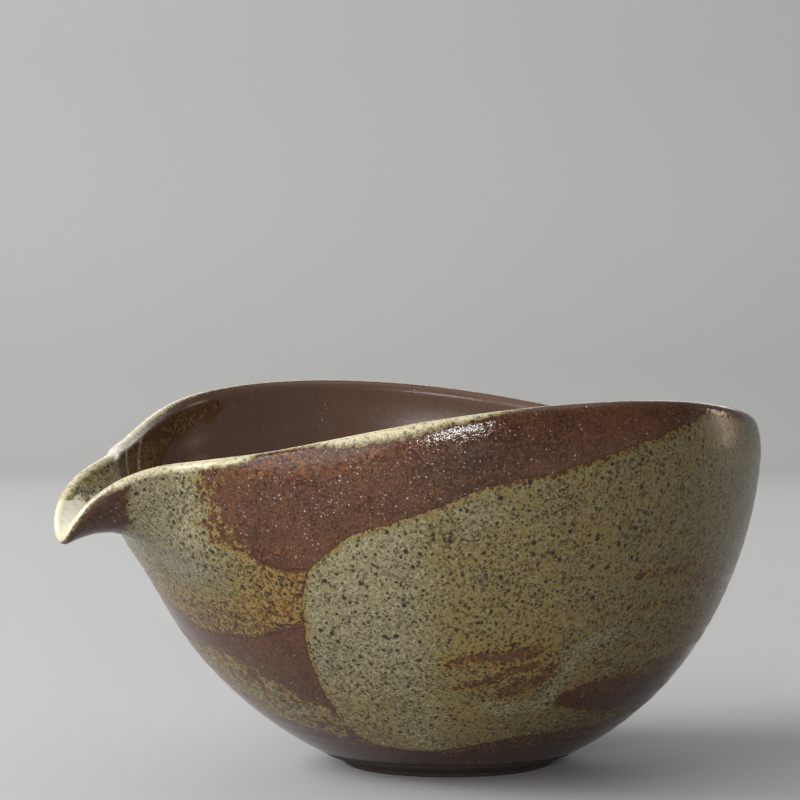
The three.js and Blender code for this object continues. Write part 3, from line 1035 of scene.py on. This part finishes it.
def ash_by_the_rim(recipe, n):
    """The ash along the rim and inside the lip."""
    rim = (recipe.mark("rim_ash") + n.wander * 1.4 + n.drift).between(-0.5, 1.2)
    lip = (recipe.mark("inside_lip") + n.wander * 3.0 + n.drift * 3.0).between(-1.6, 1.8)
    lip = lip * (recipe.mark("inside_thickness") + n.wander * 0.9 + n.drift * 0.5)
    return (rim * (1.02 + n.drift * 0.3)).highest(lip)


def glaze_runs(recipe, n):
    """1 in the runs of pale glaze inside the lip."""
    gaps = [recipe.mark(name).size() - half_width for name, _, _, half_width in RUNS]
    nearest = gaps[0].lowest(gaps[1]).lowest(gaps[2])
    run = 1 - (nearest + n.wander * 0.4).between(-0.25, 0.5)
    return run * recipe.mark("run_height").between(54.0, 57.0)


def ash_depth(recipe, n):
    """How thick the ash lies: 0 none, 1 thick and more where it pools."""
    outside = ash_outside(recipe, n) - iron_in_ash(recipe, n)
    ash = outside.highest(ash_by_the_rim(recipe, n)).highest(0.0)
    ash = ash + recipe.mark("pale_stroke") * (0.35 + n.drift * 0.6)
    # Pooled glaze at the lip's tip and the beads on the rim turn pale: pooled glaze and painted
    # highlight.
    pool = recipe.mark("pool") * (1.60 + n.wander * 0.3)
    return ash.highest(glaze_runs(recipe, n) * 1.36).highest(pool)


def slip_colour(recipe, n, colours):
    """Mottled iron slip, with embers of rust in it, darkened with painted shade under the lip, low
    on the right and near the foot, and greyer and lighter inside the bowl with painted sheen.
    """
    glinting, rusty = recipe.mark("glint_share"), recipe.mark("thin_ash")
    mottle = n.grain * 1.6 + n.stipple * 1.6 + n.streaks * 0.5 + n.drift * 0.8 + n.wander * 0.8
    mottle = mottle * (0.55 + glinting * 0.35)
    # Painted shade darkens the slip under the lip, low on the right and near the foot.
    fired = 0.62 + n.cloud * 0.8 + mottle - recipe.mark("dark_slip") * 0.40 - rusty * 0.9
    slip = recipe.blend(fired.between(0.1, 0.95), colours.thick_slip_and_shade, colours.slip)
    embers = (rusty * 2.6 + n.haze * 3.4 + n.grain * 2.4 - 0.32).between(0.0, 0.55)
    embers = embers * rusty.between(0.0, 0.08)
    sparks = (n.stipple + n.haze * 0.4).between(0.06, 0.18) * glinting * 0.45
    slip = recipe.blend(embers.highest(sparks) * 0.95, slip, colours.ember)
    # Painted sheen: the slip inside the bowl is blended to a greyer, lighter brown.
    return recipe.blend(recipe.mark("inside") * 0.6, slip, colours.slip_inside_and_sheen)


def thinness(ash):
    """1 where there is next to no ash, and 0 where it is thick."""
    return 1 - ash.between(0.05, 1.0)


def iron_near(n, ash):
    """More than 0 where iron comes up through the ash."""
    return n.blots + thinness(ash) * 0.020 + n.drift * 0.20 + n.streaks * 0.15


def ash_colour(recipe, n, ash, colours):
    """Ash from rust to pale by its thickness, thinner round the iron, with light flecks, and with
    painted shade round to the right, under the lip, low on the right and near the foot.
    """
    thin = thinness(ash)
    halo = iron_near(n, ash).between(-0.04, 0.10) * (0.12 + thin * 0.14)
    change = (n.haze * 0.5 + n.grain * 0.4) * (1 - ash.between(0.9, 1.2) * 0.8) - halo
    stops = [(position, getattr(colours, name)) for position, name in ASH_STOPS]
    colour = recipe.ramp((ash + change) * 0.70, stops)
    light = (n.stipple + n.haze * 0.4 + n.grain * 0.3).between(0.0, 0.16) * ash.between(0.3, 0.9)
    colour = recipe.blend(light * 0.30, colour, colours.cream_and_highlight)
    # Painted shade: round to the right, where the light falls off, the ash darkens towards the
    # colour of the iron specks.
    colour = recipe.blend(recipe.mark("shade") * 0.36, colour, colours.speck_and_shade)
    # Painted shade: thin ash under the lip, low on the right and near the foot darkens towards the
    # thickest slip colour.
    return recipe.blend(recipe.mark("dark_slip") * thin * 0.5, colour, colours.thick_slip_and_shade)


def iron_specks(recipe, n, ash):
    """Specks of three sizes and small bleeds, which pooled ash hides."""
    thin = thinness(ash)
    ragged = recipe.ragged(0.6 * MM, 0.4 * MM)
    crowd = n.drift * 1.2 + thin * 0.16
    fine = recipe.dots(0.52 * MM, 0.3 * MM, 0.74, ragged, crowd)
    middling = recipe.dots(0.88 * MM, 0.48 * MM, 0.54, ragged, crowd)
    large = recipe.dots(1.7 * MM, 0.66 * MM, 0.50, ragged, n.drift)
    bleed = iron_near(n, ash).between(0.04, 0.11) * (0.60 + thin * 0.28)
    specks = bleed.highest(fine * 0.76).highest(middling * 0.94).highest(large)
    return specks * ash.between(0.03, 0.3) * (1 - ash.between(1.25, 1.5) * 0.85)


def edge_line(inside, end):
    """1 along the edge of a pour, where it is so many millimetres inside."""
    return inside.between(end - 0.37, end - 0.12) * (1 - inside.between(end, end + 0.28))


def iron_lines(recipe, n):
    """The dark lines along the edges of the pours, and under the ash on a bare rim."""
    back = edge_line(recipe.mark("back_pour") + n.wander * 0.6, 0.12)
    side = edge_line(recipe.mark("side_edge") + n.wander, 0.2)
    rim = edge_line(recipe.mark("rim_ash") + n.wander + n.drift * 0.8, -0.1)
    poured = recipe.mark("side_pour").between(-0.6, 0.3)
    poured = poured.highest(recipe.mark("inside_lip").between(-2.0, 0.5))
    line = back.highest(side).highest(rim * 0.7 * (1 - poured))
    return line * (0.62 + n.grain * 3.0)


def pale_glints(recipe, n):
    """Glints of two sizes, in crowds, which are painted highlight where they lighten the slip."""
    glinting = recipe.mark("glint_share")
    large = recipe.dots(0.8 * MM, 0.24 * MM, 0.56, crowd=n.drift * 1.2 + glinting * 0.64 - 0.58)
    small = recipe.dots(0.46 * MM, 0.17 * MM, 0.60, crowd=n.drift * 1.4 + glinting * 0.6 - 0.55)
    return (large * 0.9).highest(small * 0.42)


def fired_glaze(name, colours):
    """Brown iron slip under ash glaze. Where the ash is thin, iron bleeds through it in specks."""
    recipe = Recipe(name)
    n = Unevenness(recipe)
    ash = ash_depth(recipe, n)
    bare = 1 - ash.between(0.05, 0.4)
    specks = iron_specks(recipe, n, ash)
    glints = pale_glints(recipe, n) * bare

    iron = recipe.blend(ash.between(0.1, 0.5), colours.thick_slip_and_shade, colours.speck_and_shade)
    glassy = ash_colour(recipe, n, ash, colours)
    glassy = recipe.blend(specks * 0.95, glassy, iron)
    covered = (ash + n.grain * 0.3 + n.haze * 0.2).between(0.02, 0.12)
    colour = recipe.blend(covered, slip_colour(recipe, n, colours), glassy)
    # Ash along the rim, partly its own colour and partly painted highlight.
    cream_and_highlight = (recipe.mark("rim_ash") + n.wander * 1.4 + n.drift + n.haze * 1.2).between(0.2, 1.6)
    colour = recipe.blend(cream_and_highlight * (0.84 - specks * 0.50), colour, colours.cream_and_highlight)
    colour = recipe.blend(iron_lines(recipe, n), colour, colours.thick_slip_and_shade)
    # Painted highlight: pale glints on the bare slip.
    colour = recipe.blend(glints * 0.85, colour, colours.painted_glint)

    inside = recipe.mark("inside")
    gloss = bare * (0.12 - inside * 0.14 + recipe.mark("glint_share") * 0.03) + glints * 0.08
    roughness = 0.26 + n.grain * 0.20 + n.cloud * 0.08 - gloss
    peel = recipe.noise(1.1 * MM, 3.0, 0.55) * (0.45 + bare * 0.25)
    height = peel + n.streaks * 0.2 + n.grain * 0.3 + glints * 0.5 - specks * 0.15
    return recipe.finish(colour, roughness, height * (1 - inside * 0.7), 0.12 * MM)


def bare_clay(name, colours):
    """Turned stoneware without glaze: matt, with the tool's fine rings and grit."""
    recipe = Recipe(name)
    cloud = recipe.noise(6 * MM, 3.0) - 0.5
    grit = recipe.dots(1.3 * MM, 0.22 * MM, 0.5)
    grain = recipe.noise(0.4 * MM, 2.0) - 0.5
    rings = recipe.noise(0.6 * MM, 2.0, place=recipe.stretched(0.1, 0.1, 1.0)) - 0.5
    share = (0.5 + cloud + grain * 0.8 + rings * 0.6).between(0.1, 0.9)
    dark = [c * 0.5 for c in colours.clay]
    colour = recipe.blend(share, dark, colours.clay)
    colour = recipe.blend(grit * 0.6, colour, colours.thick_slip_and_shade)
    return recipe.finish(colour, 0.78 + grain * 0.2, grain + rings + grit * 0.5, 0.08 * MM)


def plain_grey(name, colour):
    """Matt grey with slow clouds."""
    recipe = Recipe(name)
    cloud = recipe.noise(0.35, 3.0) - 0.5
    darker = [c * 0.93 for c in colour]
    shade = recipe.blend(0.5 + cloud * 1.2, darker, colour)
    return recipe.finish(shade, 0.72 + cloud * 0.1, recipe.noise(1.5 * MM, 2.0), 0.04 * MM)


def dress(made, material, slot, *nodes):
    """Gives a piece its material, and says what it rides on and stands for."""
    made.data.materials.append(material)
    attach(made, "root")
    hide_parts(*nodes)


class BOWL_OT_clay(bpy.types.Operator):
    """Throw the bowl and pull its lip"""

    bl_idname = "bowl.clay"
    bl_label = "Bowl and lip"

    def execute(self, context):
        colours = context.scene.bowl_colours
        clay = Clay(Wall(context.scene.bowl_shape))
        glaze = fired_glaze("iron slip under ash", colours)
        dress(clay.piece("thrown_bowl", False), glaze, "iron_brown_stoneware", "bowl_body")
        dress(clay.piece("pulled_lip", True), glaze, "iron_brown_stoneware", "pouring_lip")
        return {"FINISHED"}


class BOWL_OT_foot(bpy.types.Operator):
    """Turn the foot ring"""

    bl_idname = "bowl.foot"
    bl_label = "Foot ring"

    edge = 0.8 * MM
    profile_points = 60
    turns = 240

    def execute(self, context):
        profile = evenly(self.corners(context.scene.bowl_shape), self.profile_points)
        points = self.turned(profile)
        faces = grid_faces(self.turns, self.profile_points, closed=True)
        normals = grid_normals(points).reshape(-1, 3)
        made = smooth_mesh("turned_foot", points.reshape(-1, 3), normals, faces)
        clay = bare_clay("turned stoneware", context.scene.bowl_colours)
        dress(made, clay, "bare_stoneware", "foot_ring")
        return {"FINISHED"}

    def corners(self, s):
        """The ring's section: out from the axis and up, from the inside round to the outside."""
        inner, edge = s.foot_rest - s.foot_ring, self.edge
        tucked = 0.2 * MM
        return np.array([
            (inner - 0.5 * MM, s.foot_height), (inner, edge), (inner + edge * 0.3, edge * 0.3),
            (inner + edge, 0), (s.foot_rest - edge, 0), (s.foot_rest - edge * 0.3, edge * 0.3),
            (s.foot_rest, edge), (s.foot_top - 1.6 * MM, s.foot_height * 0.72),
            (s.foot_top - tucked, s.foot_height + tucked),
        ])

    def turned(self, profile):
        """The section swept round, with the tool's chatter above the face it stands on."""
        turn = np.linspace(0, 2 * math.pi, self.turns, endpoint=False)[:, None]
        chatter = 0.06 * MM * np.sin(9 * turn + 1) + 0.04 * MM * np.sin(23 * turn)
        radius = profile[None, :, 0] + chatter * (profile[None, :, 1] > self.edge / 2)
        middle = (foot_low + foot_high) / 2
        x, y = middle.x + radius * np.cos(turn), middle.y + radius * np.sin(turn)
        return np.stack([x, y, np.broadcast_to(profile[None, :, 1], x.shape)], -1)


class BOWL_OT_pours(bpy.types.Operator):
    """Pour the ash glaze over the slip"""

    bl_idname = "bowl.pours"
    bl_label = "Ash glaze pours"

    def execute(self, context):
        shape = context.scene.bowl_shape
        wall = Wall(shape)
        glaze = fired_glaze("poured ash", context.scene.bowl_colours)
        thick, thin = shape.glaze_depth, shape.glaze_depth * 0.4
        pours = (
            ("ash_pour_back", BACK_POUR, (112, 38), thick, 0.0022, False, "ash_glaze_back"),
            ("ash_pour_side", SIDE_POUR, (7, 40), thin, 0.0040, False, "ash_glaze_lip_side"),
            ("ash_pour_low", LOW_POUR, (8, 18.6), thin, 0.0020, False, "ash_glaze_low"),
            ("ash_inside_lip", INSIDE_LIP, (0, 60), thin, 0.0030, True, "ash_glaze_inside_lip"),
        )
        for name, corners, middle, depth, width, inside, node in pours:
            outline = Outline(wall, corners, inside)
            made = Coat(wall, outline, middle, depth, width).make(name)
            dress(made, glaze, "ash_glaze", node)
        return {"FINISHED"}


class BOWL_OT_stage(bpy.types.Operator):
    """Set the floor, the lamps and the camera"""

    bl_idname = "bowl.stage"
    bl_label = "Stage"

    azimuth = math.radians(-30.3)
    away = Vector((-math.sin(azimuth), math.cos(azimuth), 0))
    across = Vector((math.cos(azimuth), math.sin(azimuth), 0))

    # Camera
    distance = 0.65615
    eye = 0.09812
    yaw = math.radians(-0.832)
    pitch = math.radians(2.371)
    lens = 151.53
    sensor = 36.0

    # Floor and backdrop: rows of the flat part, start and radius of the bend, width and height
    flat = (-2.6, -0.6, 0.0)
    back = 0.9
    bend = 0.2
    width = 7.0
    tall = 3.0

    # Strength of the white world
    sky = 0.13

    def execute(self, context):
        scene = context.scene
        scene.view_settings.view_transform = "Standard"
        self.floor(scene)
        self.world(scene)
        for name, place, size, power, colour in LAMPS:
            self.lamp(name, place, size, power, colour)
        self.camera(scene)
        return {"FINISHED"}

    def floor(self, scene):
        """A floor that curves up into a backdrop, turned to face the camera."""
        section = [(y, 0) for y in self.flat]
        for a in np.radians(range(0, 91, 6)):
            section.append((self.back + self.bend * math.sin(a), self.bend * (1 - math.cos(a))))
        section.append((self.back + self.bend, self.tall))
        sides = np.linspace(-self.width / 2, self.width / 2, 9)
        points = [
            self.away * y + self.across * x + Vector((0, 0, z)) for x in sides for y, z in section
        ]
        mesh = bpy.data.meshes.new("floor")
        mesh.from_pydata(points, [], grid_faces(len(sides), len(section)).tolist())
        mesh.polygons.foreach_set("use_smooth", np.ones(len(mesh.polygons), bool))
        mesh.materials.append(plain_grey("plain floor", scene.bowl_colours.floor))
        put("floor", mesh)

    def world(self, scene):
        world = bpy.data.worlds.new("studio")
        world.use_nodes = True
        background = world.node_tree.nodes["Background"]
        background.inputs["Color"].default_value = (*WHITE, 1.0)
        background.inputs["Strength"].default_value = self.sky
        scene.world = world

    def lamp(self, name, place, size, power, colour):
        """A soft box that lights the bowl and that the camera doesn't see."""
        light = bpy.data.lights.new(name, "AREA")
        light.shape = "RECTANGLE"
        light.size, light.size_y = size
        light.energy = power
        light.color = colour
        made = put(name, light)
        made.location = place
        made.visible_camera = False
        made.rotation_euler = self.aimed(Vector(AIM) - Vector(place))

    def camera(self, scene):
        """A long lens a little above the rim, turned slightly down and aside."""
        data = bpy.data.cameras.new("camera")
        data.lens, data.sensor_width = self.lens, self.sensor
        made = put("camera", data)
        middle = (foot_low + foot_high) / 2
        lean = scene.bowl_shape.foot_height * scene.bowl_shape.lean
        axis = Vector((middle.x + lean, middle.y, self.eye))
        made.location = axis - self.away * self.distance
        level = self.away * math.cos(self.yaw) + self.across * math.sin(self.yaw)
        aim = level * math.cos(self.pitch) - Vector((0, 0, math.sin(self.pitch)))
        made.rotation_euler = self.aimed(aim)
        scene.camera = made

    def aimed(self, direction):
        return direction.to_track_quat("-Z", "Y").to_euler()


class BOWL_PT_panel(bpy.types.Panel):
    """The bowl's pieces, in the order that they are made"""

    bl_label = "Stoneware Pouring Bowl"
    bl_space_type = "VIEW_3D"
    bl_region_type = "UI"
    bl_category = "Bowl"

    def draw(self, context):
        for piece in PIECES:
            self.layout.operator(piece.bl_idname)
        for group in (context.scene.bowl_shape, context.scene.bowl_colours):
            box = self.layout.box()
            for name in group.__annotations__:
                box.prop(group, name)


PIECES = (BOWL_OT_clay, BOWL_OT_foot, BOWL_OT_pours, BOWL_OT_stage)
CLASSES = (BowlShape, GlazeColours, *PIECES, BOWL_PT_panel)


def register():
    for each in CLASSES:
        bpy.utils.register_class(each)
    bpy.types.Scene.bowl_shape = PointerProperty(type=BowlShape)
    bpy.types.Scene.bowl_colours = PointerProperty(type=GlazeColours)


def unregister():
    del bpy.types.Scene.bowl_colours
    del bpy.types.Scene.bowl_shape
    for each in reversed(CLASSES):
        bpy.utils.unregister_class(each)


def main():
    register()
    bpy.ops.bowl.clay()
    bpy.ops.bowl.foot()
    bpy.ops.bowl.pours()
    bpy.ops.bowl.stage()


if __name__ == "__main__":
    main()
